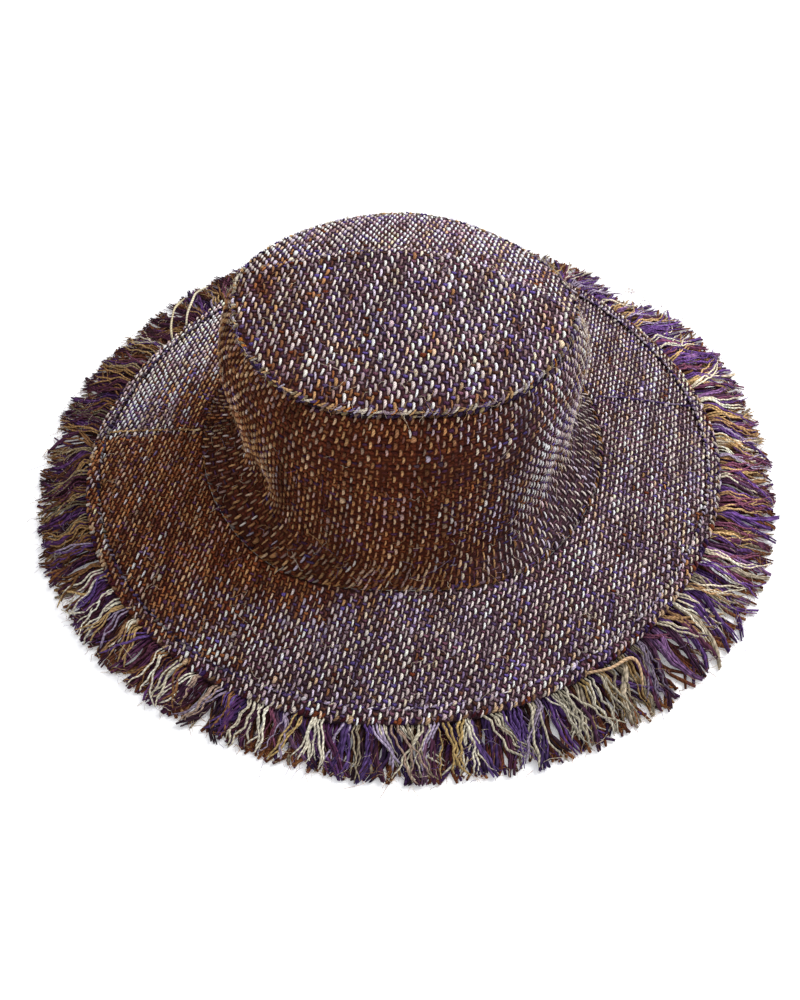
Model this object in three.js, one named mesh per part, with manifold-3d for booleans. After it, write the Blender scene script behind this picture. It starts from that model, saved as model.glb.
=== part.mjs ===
// A hemp sun hat lying on a flat surface, crown up. Millimetres, +Z up, the wearer's front towards -Y.
// The origin is the middle of the hat's outline on the surface that it lies on.

import * as THREE from 'three';
import Module from 'manifold-3d';
import { mergeVertices } from 'three/addons/utils/BufferGeometryUtils.js';

const wasm = await Module();
wasm.setup();

// Driving dimensions
const CLOTH = 2;
const GAP = 0.3;
const AROUND = 72;
const WELD = 1e-4;
const NUDGE = 0.01;
const TIP_RIM_LEVEL = 112;
const TIP_DOME_DROP = 4;
const TIP_DOME_RADIUS = 88;
const TIP_EDGE_ROLL = 1.2;
const TIP_EDGE_TURN = 14;
const CREASE_BACK = 19.5;
const CREASE_SLOPE = 0.185;
const CREASE_SPREAD = 130;
const CREASE_SOFTNESS = 3;
const CREASE_BOW_LEFT = 0.001;
const CREASE_BOW_RIGHT = 0.0056;
const CREST_RISE = 7;
const CREST_HALF_WIDTH = 96;
const CREST_RUN_FRONT = 106;
const CREST_RUN_BACK = 74;
const FOOT_HEIGHT = 17.5;
const FOOT_ROLL = 3.5;
const WAIST_HEIGHT = 27;
const WAIST_ROLL = 1.5;
const HIP_HEIGHT = 46;
const BELLY_HEIGHT = 74;
const SHOULDER_DROP = 11;
const BRIM_BELLY = 1.5;
const SEAM_REACH = 250;
const SIDE_SEAMS = [[-250, 14], [-60, -14], [60, 20], [250, 24]];
const EDGE_BAND_WIDTH = 7;
const EDGE_BAND_THICKNESS = 1.4;
const FRINGE_THICKNESS = 4;

// The hat seen from above, one row for every 30 degrees counted from the wearer's left side (+X). Radii of the
// tip seam, the wall's belly, its waist, the seam between crown and brim, the brim's edge and the fringe's ends,
// and the height of the brim's edge.
const OUTLINE = [
  { angle: 0, tip: 88, belly: 96, waist: 91, foot: 110, edge: 178, lift: 6, fringe: 207 },
  { angle: 30, tip: 89, belly: 96, waist: 91, foot: 109, edge: 177, lift: 6, fringe: 209 },
  { angle: 60, tip: 89, belly: 95, waist: 93, foot: 110, edge: 178, lift: 7, fringe: 207 },
  { angle: 90, tip: 94, belly: 98, waist: 99, foot: 112, edge: 177, lift: 6, fringe: 207 },
  { angle: 120, tip: 91, belly: 95, waist: 95, foot: 110, edge: 173, lift: 5, fringe: 201 },
  { angle: 150, tip: 87, belly: 95, waist: 92, foot: 109, edge: 169, lift: 4, fringe: 197 },
  { angle: 180, tip: 84, belly: 94, waist: 91, foot: 110, edge: 174, lift: 5, fringe: 207 },
  { angle: 210, tip: 85, belly: 93, waist: 90, foot: 113, edge: 178, lift: 6.5, fringe: 207 },
  { angle: 240, tip: 87, belly: 95, waist: 101, foot: 118, edge: 181, lift: 6, fringe: 205 },
  { angle: 270, tip: 84, belly: 96, waist: 104, foot: 114, edge: 180, lift: 6, fringe: 207 },
  { angle: 300, tip: 88, belly: 97, waist: 102, foot: 119, edge: 177, lift: 5, fringe: 206 },
  { angle: 330, tip: 88, belly: 95, waist: 95, foot: 114, edge: 176, lift: 7, fringe: 201 },
];

// Puckers where the wall is gathered into the crown seam: where, how wide in degrees, how deep, and how high.
const PUCKERS = [
  { angle: 195, width: 7, depth: 2.5, height: 34 },
  { angle: 219, width: 9, depth: 5, height: 32 },
  { angle: 248, width: 7, depth: 2, height: 30 },
  { angle: 292, width: 6, depth: 2, height: 34 },
  { angle: 310, width: 7, depth: 2, height: 38 },
  { angle: 327, width: 9, depth: 4, height: 34 },
  { angle: 348, width: 7, depth: 2, height: 30 },
  { angle: 25, width: 9, depth: 2, height: 34 },
  { angle: 62, width: 8, depth: 2.5, height: 30 },
  { angle: 104, width: 9, depth: 2, height: 32 },
  { angle: 143, width: 8, depth: 2.5, height: 34 },
];
const PUCKER_TALL = 16;
const SEWN_SHARE = 0.31;

const degrees = (radians) => THREE.MathUtils.euclideanModulo(THREE.MathUtils.radToDeg(radians), 360);

// A column of the outline table at any angle, on a smooth closed curve through its rows.
function outline(column, angle) {
  const step = 360 / OUTLINE.length;
  const place = degrees(angle) / step;
  const row = Math.floor(place);
  const t = place - row;
  const [a, b, c, d] = [-1, 0, 1, 2].map((k) => OUTLINE[(row + k + OUTLINE.length) % OUTLINE.length][column]);
  const slopeIn = (c - a) / 2;
  const slopeOut = (d - b) / 2;
  const bend = 3 * (c - b) - 2 * slopeIn - slopeOut;
  const twist = 2 * (b - c) + slopeIn + slopeOut;
  return b + t * (slopeIn + t * (bend + t * twist));
}

// How far a cloth point at this angle and height is drawn inwards by the puckers.
function puckered(angle, height) {
  let inwards = 0;
  for (const pucker of PUCKERS) {
    const away = THREE.MathUtils.euclideanModulo(degrees(angle) - pucker.angle + 180, 360) - 180;
    const up = (height - pucker.height) / PUCKER_TALL;
    inwards += pucker.depth * Math.exp(-((away / pucker.width) ** 2) - up ** 2);
  }
  return inwards;
}

// Height of the tip's upper face: a low dome that rises from the front to the crest of its crease, and falls away
// to the back behind it.
function tipHeight(x, y) {
  const bow = x < 0 ? CREASE_BOW_LEFT : CREASE_BOW_RIGHT;
  const behind = y - (CREASE_BACK - bow * x * x);
  const fall = (behind + Math.hypot(behind, CREASE_SOFTNESS)) / 2;
  const slope = CREASE_SLOPE * (1 + (x / CREASE_SPREAD) ** 2);
  const dome = TIP_DOME_DROP * (x * x + y * y) / TIP_DOME_RADIUS ** 2;
  const crest = 1 + (behind - fall) / CREST_RUN_FRONT - fall / CREST_RUN_BACK;
  const across = 1 - (x / CREST_HALF_WIDTH) ** 2;
  return TIP_RIM_LEVEL - dome - slope * fall + CREST_RISE * across * crest;
}

const polar = (angle, radius, height) =>
  new THREE.Vector3(radius * Math.cos(angle), radius * Math.sin(angle), height);

// The outer face of each cloth piece. s runs across the piece, away from the middle of the tip.
function tipFace(angle, s) {
  const radius = s * outline('tip', angle);
  const flat = polar(angle, radius, 0);
  return polar(angle, radius, tipHeight(flat.x, flat.y) - TIP_EDGE_ROLL * s ** TIP_EDGE_TURN);
}

function wallFace(angle, s) {
  const [tip, belly] = [outline('tip', angle), outline('belly', angle)];
  const [waist, foot] = [outline('waist', angle), outline('foot', angle)];
  const seam = tipFace(angle, 1).z - CLOTH - GAP;
  const section = new THREE.SplineCurve([
    new THREE.Vector2(tip, seam),
    new THREE.Vector2(THREE.MathUtils.lerp(tip, belly, 0.65), seam - SHOULDER_DROP),
    new THREE.Vector2(belly, BELLY_HEIGHT),
    new THREE.Vector2(THREE.MathUtils.lerp(waist, belly, 0.35), HIP_HEIGHT),
    new THREE.Vector2(waist + WAIST_ROLL, WAIST_HEIGHT),
    new THREE.Vector2((foot + waist) / 2, FOOT_HEIGHT + FOOT_ROLL),
    new THREE.Vector2(foot, FOOT_HEIGHT),
  ]).getPoint(s);
  const free = Math.sin(Math.PI / 2 * Math.min(1, (1 - s) / SEWN_SHARE));
  return polar(angle, section.x - free * puckered(angle, section.y), section.y);
}

function brimFace(angle, s) {
  const radius = THREE.MathUtils.lerp(outline('foot', angle) + GAP, outline('edge', angle), s);
  const height = THREE.MathUtils.lerp(FOOT_HEIGHT, outline('lift', angle), s);
  return polar(angle, radius, height + BRIM_BELLY * Math.sin(Math.PI * s));
}

function edgeBandFace(angle, s) {
  const edge = outline('edge', angle);
  const inner = brimFace(angle, 1 - EDGE_BAND_WIDTH / (edge - outline('foot', angle)));
  const outer = brimFace(angle, 1);
  return inner.lerp(outer, s).add(new THREE.Vector3(0, 0, EDGE_BAND_THICKNESS + GAP));
}

// Turns a closed section into a ring or a cap: the section's x is s plus `start`, and its y is the depth below
// the outer face. The lathe gives the closed grid of faces, and each corner is then laid on the cloth's surface.
function clothFromLathe(section, face, start) {
  const lathe = new THREE.LatheGeometry(section, AROUND);
  const corners = lathe.getAttribute('position');
  for (let i = 0; i < corners.count; i += 1) {
    const [across, depth, along] = [corners.getX(i), corners.getY(i), corners.getZ(i)];
    const s = THREE.MathUtils.clamp(Math.hypot(across, along) - start, 0, 1);
    const angle = Math.atan2(along, across);
    const near = THREE.MathUtils.clamp(s, NUDGE, 1 - NUDGE);
    const out = face(angle, near + NUDGE).sub(face(angle, near - NUDGE));
    const around = face(angle + NUDGE, near).sub(face(angle - NUDGE, near));
    const normal = out.cross(around).normalize();
    if (start + s < WELD) normal.set(0, 0, 1);
    const point = face(angle, s).addScaledVector(normal, depth);
    corners.setXYZ(i, point.x, point.y, point.z);
  }
  return solid(lathe);
}

// A closed mesh with shared corners as a solid that can be cut, facing outwards.
function solid(geometry) {
  geometry.deleteAttribute('normal');
  geometry.deleteAttribute('uv');
  const merged = mergeVertices(geometry, WELD);
  const vertices = Float32Array.from(merged.getAttribute('position').array);
  const index = merged.getIndex().array;
  const faces = [];
  let volume = 0;
  for (let i = 0; i < index.length; i += 3) {
    const [a, b, c] = [index[i], index[i + 1], index[i + 2]];
    if (a === b || b === c || c === a) continue;
    faces.push(a, b, c);
    const [p, q, r] = [a, b, c].map((k) => new THREE.Vector3().fromArray(vertices, 3 * k));
    volume += p.dot(q.cross(r));
  }
  if (volume < 0) faces.reverse();
  return new wasm.Manifold(new wasm.Mesh({
    numProp: 3,
    vertProperties: vertices,
    triVerts: Uint32Array.from(faces),
  }));
}

// The closed section of a cloth wall `depth` thick, with `steps` faces across it. `start` is 0 for a cap and 1
// for a ring, which has no middle.
function clothSection(steps, depth, start) {
  const outer = [];
  for (let k = 0; k <= steps; k += 1) outer.push(new THREE.Vector2(start + k / steps, 0));
  const inner = outer.slice().reverse().map((p) => new THREE.Vector2(p.x, -depth));
  const ring = outer.concat(inner);
  if (start > 0) ring.push(ring[0].clone());
  return ring;
}

function meshOf(name, manifold, colour, roughness) {
  const { vertProperties, triVerts, numProp } = manifold.getMesh();
  const positions = new Float32Array(vertProperties.length / numProp * 3);
  for (let i = 0; i < positions.length / 3; i += 1) {
    positions.set(vertProperties.subarray(i * numProp, i * numProp + 3), 3 * i);
  }
  const geometry = new THREE.BufferGeometry();
  geometry.setAttribute('position', new THREE.BufferAttribute(positions, 3));
  geometry.setIndex(new THREE.BufferAttribute(Uint32Array.from(triVerts), 1));
  geometry.computeVertexNormals();
  const material = new THREE.MeshStandardMaterial({ color: colour, roughness, metalness: 0 });
  const mesh = new THREE.Mesh(geometry, material);
  mesh.name = name;
  return mesh;
}

// Crown tip: one round of cloth.
const tip = clothFromLathe(clothSection(9, CLOTH, 0), tipFace, 0);

// Crown band: the wall, from the seam at its foot up to the tip.
const band = clothFromLathe(clothSection(13, CLOTH, 1), wallFace, 1);

// Brim: a ring that the two side seams part into a front and a back half.
const brim = clothFromLathe(clothSection(4, CLOTH, 1), brimFace, 1);

function halfBehindSeams() {
  const cut = new THREE.Shape([
    ...SIDE_SEAMS.map(([x, y]) => new THREE.Vector2(x, y)),
    new THREE.Vector2(SEAM_REACH, SEAM_REACH),
    new THREE.Vector2(-SEAM_REACH, SEAM_REACH),
  ]);
  const block = new THREE.ExtrudeGeometry(cut, { depth: TIP_RIM_LEVEL, bevelEnabled: false });
  return block.translate(0, 0, -CLOTH);
}

const behind = solid(halfBehindSeams());
const brimBack = brim.intersect(behind);
const brimFront = brim.subtract(behind.translate([0, -GAP, 0]));

// Edge band: a strip stitched down on the brim, along its edge.
const edgeBand = clothFromLathe(clothSection(1, EDGE_BAND_THICKNESS, 1), edgeBandFace, 1);

// Fringe: the outer form of the frayed yarns, which lie flat on the surface past the brim's edge.
function fringeRing() {
  const section = [
    { s: 0, low: 'under', rise: -CLOTH },
    { s: 0, low: 'under', rise: 0 },
    { s: 0.45, low: 'floor', rise: FRINGE_THICKNESS },
    { s: 0.9, low: 'floor', rise: FRINGE_THICKNESS / 2 },
    { s: 1, low: 'floor', rise: FRINGE_THICKNESS / 5 },
    { s: 1, low: 'floor', rise: 0 },
    { s: 0.3, low: 'floor', rise: 0 },
  ];
  const loop = section.concat([section[0]]).map((p, k) => new THREE.Vector2(1 + p.s, k % section.length));
  const lathe = new THREE.LatheGeometry(loop, AROUND);
  const corners = lathe.getAttribute('position');
  for (let i = 0; i < corners.count; i += 1) {
    const [across, which, along] = [corners.getX(i), corners.getY(i), corners.getZ(i)];
    const angle = Math.atan2(along, across);
    const row = section[Math.round(which)];
    const base = row.low === 'floor' ? 0 : outline('lift', angle);
    const radius = THREE.MathUtils.lerp(outline('edge', angle) + GAP, outline('fringe', angle), row.s);
    const point = polar(angle, radius, base + row.rise);
    corners.setXYZ(i, point.x, point.y, point.z);
  }
  return solid(lathe);
}

const hat = new THREE.Group();
hat.name = 'hemp_sun_hat';
hat.add(meshOf('crown_tip', tip, '#8d7b80', 0.9));
hat.add(meshOf('crown_band', band, '#5d3b2a', 0.92));
hat.add(meshOf('brim_front', brimFront, '#74605f', 0.9));
hat.add(meshOf('brim_back', brimBack, '#7b6a70', 0.9));
hat.add(meshOf('edge_band', edgeBand, '#6a5560', 0.9));
hat.add(meshOf('fringe', fringeRing(), '#5a3d78', 0.95));

export default hat;
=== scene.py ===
import math

import bmesh
import bpy
import numpy as np
from mathutils import Matrix, Vector


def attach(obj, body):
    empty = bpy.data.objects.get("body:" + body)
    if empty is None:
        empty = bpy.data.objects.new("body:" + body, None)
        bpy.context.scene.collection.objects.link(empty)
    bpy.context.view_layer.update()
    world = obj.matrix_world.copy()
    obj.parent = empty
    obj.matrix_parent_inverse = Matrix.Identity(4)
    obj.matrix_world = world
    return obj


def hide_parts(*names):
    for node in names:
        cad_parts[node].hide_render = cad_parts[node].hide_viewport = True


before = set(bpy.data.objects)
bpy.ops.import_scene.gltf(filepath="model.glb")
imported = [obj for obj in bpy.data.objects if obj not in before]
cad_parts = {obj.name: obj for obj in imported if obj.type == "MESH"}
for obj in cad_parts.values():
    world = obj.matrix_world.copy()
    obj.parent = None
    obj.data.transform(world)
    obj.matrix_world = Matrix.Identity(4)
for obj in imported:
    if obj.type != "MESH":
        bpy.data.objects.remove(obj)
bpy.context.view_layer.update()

# Camera: it stands in front of the hat and looks down on it at 46 degrees. Distance and lens were worked out
# from the ellipse of the brim, and a small shift puts the hat where it lies in an 800 x 1000 picture. Left
# and right are as the picture shows them, here and below: right is +X, the wearer's left.
MM = 0.001
PICTURE_LONG_SIDE = 1000
PICTURE_MIDDLE = (400, 500)
BRIM_MIDDLE = (402, 437)
FOCAL_LENGTH_IN_PIXELS = 1010
CAMERA_ELEVATION = math.radians(46)
CAMERA_DISTANCE = 576 * MM
CAMERA_TARGET = Vector((0, 0, 6 * MM))


def placed(name, data):
    """A new object in the scene, at the origin."""
    thing = bpy.data.objects.new(name, data)
    bpy.context.scene.collection.objects.link(thing)
    return thing


lens = bpy.data.cameras.new("camera")
lens.sensor_width = 36
lens.lens = FOCAL_LENGTH_IN_PIXELS / PICTURE_LONG_SIDE * lens.sensor_width
lens.shift_x = (PICTURE_MIDDLE[0] - BRIM_MIDDLE[0]) / PICTURE_LONG_SIDE
lens.shift_y = (BRIM_MIDDLE[1] - PICTURE_MIDDLE[1]) / PICTURE_LONG_SIDE
camera = placed("camera", lens)
towards_camera = Vector((0, -math.cos(CAMERA_ELEVATION), math.sin(CAMERA_ELEVATION)))
camera.location = CAMERA_TARGET + CAMERA_DISTANCE * towards_camera
camera.rotation_euler = towards_camera.to_track_quat("Z", "Y").to_euler()
bpy.context.scene.camera = camera

# Crown tip: one round of hand-loomed hemp, cut flat and sewn to the crown band at its rim. It keeps a crease
# across its back. Sizes are in millimetres, and radii are given every 30 degrees round the hat, from +X.
CLOTH = 2.0
TIP_RADII = (88, 89, 89, 94, 91, 87, 84, 85, 87, 84, 88, 88)
TIP_RIM_LEVEL, TIP_DOME_DROP, TIP_DOME_RADIUS = 112, 4, 88
TIP_EDGE_ROLL, TIP_EDGE_TURN = 1.2, 14
CREASE_BACK, CREASE_SOFTNESS = 19.5, 3
CREASE_SLOPE, CREASE_SPREAD = 0.185, 130
CREASE_BOW_LEFT, CREASE_BOW_RIGHT = 0.001, 0.0056
CREST_RISE, CREST_HALF_WIDTH = 7, 96
CREST_RUN_FRONT, CREST_RUN_BACK = 106, 74
FOLD_RISE, FOLD_WIDTH, FOLD_TROUGH, TROUGH_BEHIND, TROUGH_SPREAD = 0.8, 4.0, 1.0, 9, 1.4
TIP_RIPPLE, RIM_EVENNESS = 0.8, 8
TIP_SPACING, TIP_LEAN = (2.66, 3.5), 0.15
WEAVE_REACH, WEAVE_LIGHT, WEFT_GAIN, WARM_LOTS = 190, 1.03, 1.3, 0.22
WARP_TURN, WEFT_TURN = math.radians(13), math.radians(21)
WARP_WAY = np.array([math.sin(WARP_TURN), math.cos(WARP_TURN)])
WEFT_WAY = np.array([math.cos(WEFT_TURN), -math.sin(WEFT_TURN)])
WARP_FLOAT = {"long": 1.52, "wide": 0.455, "thick": 1.2, "rise": 0.5}
WEFT_FLOAT = {"long": 1.35, "wide": 0.5, "thick": 1.1, "rise": 0.1}
rng = np.random.default_rng(46)


def curve(a, b, c, d, t):
    """A smooth curve from b (t = 0) to c (t = 1), whose slopes there follow the neighbours a and d."""
    slope_in, slope_out = (c - a) / 2, (d - b) / 2
    bend = 3 * (c - b) - 2 * slope_in - slope_out
    return b + t * (slope_in + t * (bend + t * (2 * (b - c) + slope_in + slope_out)))


def around(radii, angle):
    """A size given every 30 degrees, read at any angle on a smooth closed curve."""
    rows = np.array(radii, float)
    place = np.degrees(angle) % 360 / 30
    row = np.floor(place).astype(int)
    return curve(*(rows[(row + k) % len(rows)] for k in (-1, 0, 1, 2)), place - row)


def polar(angle, radius, height):
    angle, radius, height = np.broadcast_arrays(angle, radius, height)
    return np.stack([radius * np.cos(angle), radius * np.sin(angle), height], -1)


def ripple(x, y, z):
    """Soft unevenness of hand-sewn cloth."""
    return (
        0.5 * np.sin(0.061 * x + 0.047 * y + 1.3)
        + 0.45 * np.sin(0.083 * y - 0.052 * x + 0.071 * z)
        + 0.3 * np.sin(0.139 * x + 0.117 * z - 0.6) * np.cos(0.124 * y + 0.4)
    )


def tip_face(angle, s):
    """Outer face of the tip, from its middle (s = 0) to its rim (s = 1)."""
    radius = s * around(TIP_RADII, angle)
    x, y = radius * np.cos(angle), radius * np.sin(angle)
    bow = np.where(x < 0, CREASE_BOW_LEFT, CREASE_BOW_RIGHT)
    behind = y - (CREASE_BACK - bow * x * x)
    fall = (behind + np.hypot(behind, CREASE_SOFTNESS)) / 2
    slope = CREASE_SLOPE * (1 + (x / CREASE_SPREAD) ** 2)
    dome = TIP_DOME_DROP * (x * x + y * y) / TIP_DOME_RADIUS**2
    crest = 1 + (behind - fall) / CREST_RUN_FRONT - fall / CREST_RUN_BACK
    crest = CREST_RISE * crest * (1 - (x / CREST_HALF_WIDTH) ** 2)
    fold = FOLD_RISE * np.exp(-((behind / FOLD_WIDTH) ** 2))
    fold = fold - FOLD_TROUGH * np.exp(-(((behind - TROUGH_BEHIND) / FOLD_WIDTH / TROUGH_SPREAD) ** 2))
    height = TIP_RIM_LEVEL - dome - slope * fall + crest - TIP_EDGE_ROLL * s**TIP_EDGE_TURN
    return polar(angle, radius, height + (fold + TIP_RIPPLE * ripple(x, y, 0)) * (1 - s**RIM_EVENNESS))


def unit(vectors):
    """Vectors made a unit long."""
    return vectors / np.maximum(np.linalg.norm(vectors, axis=-1, keepdims=True), 1e-9)


def smooth(low, high, value):
    """A soft step from 0 at low to 1 at high."""
    t = np.clip((value - low) / (high - low), 0, 1)
    return t * t * (3 - 2 * t)


def to_linear(colour):
    """An sRGB hex colour as linear red, green and blue."""
    parts = [int(colour[i : i + 2], 16) / 255 for i in (1, 3, 5)]
    return [c / 12.92 if c <= 0.04045 else ((c + 0.055) / 1.055) ** 2.4 for c in parts]


def add_node(tree, kind, inputs=(), **settings):
    """Adds a node, sets it, and sets or links its inputs."""
    node = tree.nodes.new(kind)
    for name, value in settings.items():
        setattr(node, name, value)
    for name, value in dict(inputs).items():
        if isinstance(value, bpy.types.NodeSocket):
            tree.links.new(value, node.inputs[name])
        else:
            node.inputs[name].default_value = value
    return node


def shader_of(name, roughness, specular):
    material = bpy.data.materials.new(name)
    material.use_nodes = True
    shader = material.node_tree.nodes["Principled BSDF"]
    shader.inputs["Roughness"].default_value = roughness
    shader.inputs["Specular IOR Level"].default_value = specular
    return material, material.node_tree, shader


RANGE_ENDS = ("From Min", "From Max", "To Min", "To Max")


def finish_hemp(tree, shader, colour, shaded, shades, fibres, roughness, relief, strength, depth):
    """Finishes a hemp shader: darker in its grooves as painted shade, more or less rough as its fibres lie,
    and bumpy.
    """
    shade, rough = (
        add_node(tree, "ShaderNodeMapRange", {"Value": value, **dict(zip(RANGE_ENDS, ends))}).outputs[0]
        for value, ends in ((shaded, shades), (fibres, roughness))
    )
    coloured = add_node(tree, "ShaderNodeVectorMath", {0: colour, "Scale": shade}, operation="SCALE")
    bump = add_node(tree, "ShaderNodeBump", {"Height": relief, "Strength": strength, "Distance": depth * MM})
    tree.links.new(coloured.outputs["Vector"], shader.inputs["Base Color"])
    tree.links.new(rough, shader.inputs["Roughness"])
    tree.links.new(bump.outputs["Normal"], shader.inputs["Normal"])


def loomed_hemp():
    """Plain-woven hemp in the shade between its raised yarns: violet or red-brown, dull and full of lint."""
    material, tree, shader = shader_of("loomed_hemp_ground", 0.92, 0.08)
    place = add_node(tree, "ShaderNodeTexCoord").outputs["Object"]
    grain = add_node(tree, "ShaderNodeAttribute", attribute_name="grain").outputs["Vector"]
    dye_and_shade = add_node(tree, "ShaderNodeAttribute", attribute_name="dye_and_shade").outputs["Color"]
    yarns = {"Vector": grain, "Scale": math.pi / 10, "Distortion": 1.2, "Detail": 2}
    warp, weft = (
        add_node(tree, "ShaderNodeTexWave", yarns, wave_type="BANDS", bands_direction=way).outputs["Fac"]
        for way in ("X", "Y")
    )
    woven = add_node(tree, "ShaderNodeMath", {0: warp, 1: weft}, operation="MULTIPLY").outputs[0]
    lint = add_node(tree, "ShaderNodeTexNoise", {"Vector": place, "Scale": 900, "Detail": 4}).outputs["Fac"]
    mixed = add_node(tree, "ShaderNodeMath", {0: lint, 1: woven, 2: 0.18}, operation="MULTIPLY_ADD")
    shades, roughness = (0.15, 0.65, 0.5, 2.0), (0, 1, 0.82, 0.98)
    finish_hemp(tree, shader, dye_and_shade, mixed.outputs[0], shades, lint, roughness, woven, 0.8, 0.8)
    return material


def spun_hemp(name, ply_pitch, specular):
    """Hand-spun hemp: dull two-ply yarn, with slanting grooves between its plies painted darker as shade, and
    mottled fibres.
    """
    material, tree, shader = shader_of(name, 0.88, specular)
    tint = add_node(tree, "ShaderNodeAttribute", attribute_name="tint").outputs["Color"]
    lay = add_node(tree, "ShaderNodeAttribute", attribute_name="lay").outputs["Vector"]
    grooves = {"Vector": lay, "Scale": math.pi / 5 / ply_pitch, "Distortion": 1.5, "Detail": 1}
    plies = add_node(tree, "ShaderNodeTexWave", grooves, wave_type="BANDS", bands_direction="DIAGONAL")
    drawn = add_node(tree, "ShaderNodeMapping", {"Vector": lay, "Scale": (0.5, 4, 1)}).outputs["Vector"]
    fibres = add_node(tree, "ShaderNodeTexNoise", {"Vector": drawn, "Scale": 1.1, "Detail": 3}).outputs["Fac"]
    both = {0: plies.outputs["Fac"], 1: fibres}
    relief = add_node(tree, "ShaderNodeMath", both, operation="MULTIPLY").outputs[0]
    shades, roughness = (0, 0.55, 0.62, 1.25), (0, 1, 0.76, 0.96)
    finish_hemp(tree, shader, tint, relief, shades, fibres, roughness, relief, 0.7, 0.3)
    return material


ground = loomed_hemp()
woven_yarn = spun_hemp("hand_spun_hemp_weave", 1.6, 0.08)
# The ground's colours: the cloth's own violet and red-brown, darkened as painted shade between the raised
# yarns.
COOL_DYE_AND_SHADE, WARM_DYE_AND_SHADE = to_linear("#3e2a30"), to_linear("#502414")
GROUND_DEPTH = 0.3


def lay_grain(mesh, grain_of, warmth_at):
    """Stores where each point of a panel lies in the weave, counted in yarns, and its ground's colour: the
    cloth's violet and red-brown mixed by warmth, and dark as painted shade between the raised yarns.
    """
    spots = np.zeros(len(mesh.vertices) * 3)
    mesh.vertices.foreach_get("co", spots)
    spots = spots.reshape(-1, 3) / MM
    grain = mesh.attributes.new("grain", "FLOAT_VECTOR", "POINT")
    grain.data.foreach_set("vector", grain_of(spots).ravel())
    share = warmth_at(spots)[:, None]
    dye_and_shade = np.ones((len(spots), 4))
    dye_and_shade[:, :3] = (1 - share) * COOL_DYE_AND_SHADE + share * WARM_DYE_AND_SHADE
    mesh.attributes.new("dye_and_shade", "FLOAT_COLOR", "POINT").data.foreach_set("color", dye_and_shade.ravel())


def panel(node, slot, face, segments, grain_of, warmth_at, span=(0, 2 * math.pi), thickness=CLOTH):
    """A node's cloth: a grid just under the raised yarns of its outer face, thickened inwards."""
    shape = bmesh.new()
    bmesh.ops.create_grid(shape, x_segments=segments[0], y_segments=segments[1], size=0.5)
    flat = np.array([vertex.co for vertex in shape.verts])
    turn = span[0] + (flat[:, 0] + 0.5) * (span[1] - span[0])
    s = np.clip(flat[:, 1] + 0.5, 0, 1)
    step = 1e-3
    inner = np.clip(s, step, 1 - step)
    outwards = face(turn, inner + step) - face(turn, inner - step)
    sideways = face(turn + step, inner) - face(turn - step, inner)
    spots = face(turn, s) - GROUND_DEPTH * unit(np.cross(outwards, sideways))
    for vertex, spot in zip(shape.verts, spots * MM):
        vertex.co = spot
    bmesh.ops.remove_doubles(shape, verts=shape.verts, dist=0.002 * MM)
    bmesh.ops.recalc_face_normals(shape, faces=shape.faces)
    outer = sum(face.normal.dot(face.calc_center_median() + Vector((0, 0, 1))) for face in shape.faces)
    if outer < 0:
        bmesh.ops.reverse_faces(shape, faces=shape.faces)
    for polygon in shape.faces:
        polygon.smooth = True
    mesh = bpy.data.meshes.new(f"{node}_cloth")
    shape.to_mesh(mesh)
    shape.free()
    mesh.materials.append(ground)
    lay_grain(mesh, grain_of, warmth_at)
    piece = placed(f"{node}_cloth", mesh)
    shell = piece.modifiers.new("cloth thickness", "SOLIDIFY")
    shell.thickness = (thickness - GROUND_DEPTH) * MM
    shell.offset = -1
    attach(piece, "root")
    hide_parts(node)
    return piece


def flat_grain(spacing):
    """The grain of a panel cut flat, for yarns this far apart."""
    yarns = np.linalg.inv([WEFT_WAY * spacing[0], WARP_WAY * spacing[1]])

    def grain_of(spots):
        return np.hstack([spots[:, :2] @ yarns, np.zeros((len(spots), 1))])

    return grain_of


def taken(shape):
    """The points of a finished bmesh and the corners of its faces, for joined to copy."""
    bmesh.ops.recalc_face_normals(shape, faces=shape.faces)
    shape.verts.index_update()
    corners = np.array([vertex.co for vertex in shape.verts])
    faces = [[vertex.index for vertex in face.verts] for face in shape.faces]
    shape.free()
    return corners, faces


def float_shape(bands, sides):
    """One float of a yarn along X, a unit long, wide and thick. It is a bowed bar, fuller towards +X, whose
    ends dive under the yarns that cross it."""
    shape = bmesh.new()
    bmesh.ops.create_uvsphere(shape, u_segments=sides, v_segments=bands, radius=0.5)
    bmesh.ops.rotate(shape, verts=shape.verts, cent=(0, 0, 0), matrix=Matrix.Rotation(math.pi / 2, 3, "Y"))
    for vertex in shape.verts:
        along = min(abs(vertex.co.x) * 2, 1)
        full = 1 + 0.5 * along**2 + 0.5 * vertex.co.x
        vertex.co.y = vertex.co.y * full + 0.35 * along**2
        vertex.co.z = vertex.co.z * full - 0.5 * along**2
    return taken(shape)


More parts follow.
